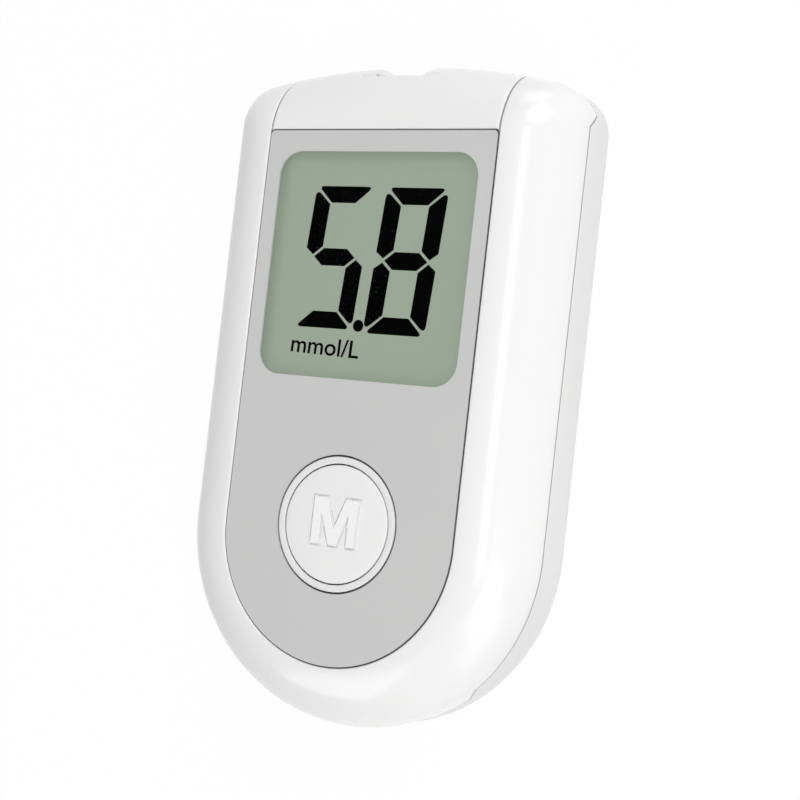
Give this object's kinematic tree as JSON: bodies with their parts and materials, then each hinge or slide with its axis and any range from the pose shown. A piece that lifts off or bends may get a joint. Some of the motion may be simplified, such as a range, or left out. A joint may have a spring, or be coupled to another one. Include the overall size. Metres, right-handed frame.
{
  "type": "blood glucose meter",
  "caption": "Handheld test meter with a rounded white case, crowned port end, grey face panel, display window, round push button and sliding battery door.",
  "frame": {"origin": "centre of the footprint on the flat back, with the meter lying on its back", "axes": "+Y along the length towards the test strip port, +Z out of the face, +X to the reader's right"},
  "size_m": [0.0526, 0.0894, 0.0161],
  "materials": {
    "shell_white": "gloss moulded ABS",
    "cap_white": "satin moulded ABS",
    "rear_white": "fine texture moulded ABS",
    "panel_grey": "satin printed film",
    "window_clear": "clear acrylic",
    "display_glass": "liquid crystal display with polariser",
    "backing_film": "reflector film",
    "holder_plastic": "moulded plastic",
    "strip_rubber": "layered conductive elastomer",
    "ring_white": "satin moulded ABS",
    "button_white": "satin moulded ABS",
    "black_plastic": "moulded plastic",
    "board_laminate": "glass epoxy laminate with solder mask",
    "tin_plate": "tin plated steel",
    "gold_plate": "gold plated spring bronze",
    "cell_steel": "nickel plated steel",
    "screw_steel": "zinc plated steel"
  },
  "bodies": {
    "housing": {"front_shell": "shell_white", "top_cap": "cap_white", "rear_cover": "rear_white", "face_panel": "panel_grey", "display_window": "window_clear", "display_panel": "display_glass", "display_backing": "backing_film", "display_holder": "holder_plastic", "contact_strips": "strip_rubber", "button_ring": "ring_white", "switch_body": "black_plastic", "circuit_board": "board_laminate", "processor_chip": "black_plastic", "memory_chip": "black_plastic", "timing_crystal": "tin_plate", "strip_port": "black_plastic", "strip_contacts": "gold_plate", "sounder": "black_plastic", "battery_spring": "gold_plate", "battery_clip": "gold_plate", "coin_cell": "cell_steel", "case_screws": "screw_steel"},
    "button": {"button_cap": "button_white"},
    "plunger": {"switch_plunger": "black_plastic"},
    "door": {"battery_door": "rear_white"}
  },
  "joints": [
    {"name": "button_press", "type": "slide", "parent": "housing", "child": "button", "axis": [0, 0, -1], "range_m": [0, 0.0004], "stiffness_N_per_m": 1500},
    {"name": "plunger_press", "type": "slide", "parent": "housing", "child": "plunger", "axis": [0, 0, -1], "range_m": [0, 0.0004]},
    {"name": "door_slide", "type": "slide", "parent": "housing", "child": "door", "axis": [0, -1, 0], "range_m": [0, 0.012]}
  ],
  "couplings": [
    {"joint": "plunger_press", "follows": "button_press", "ratio": 1}
  ]
}
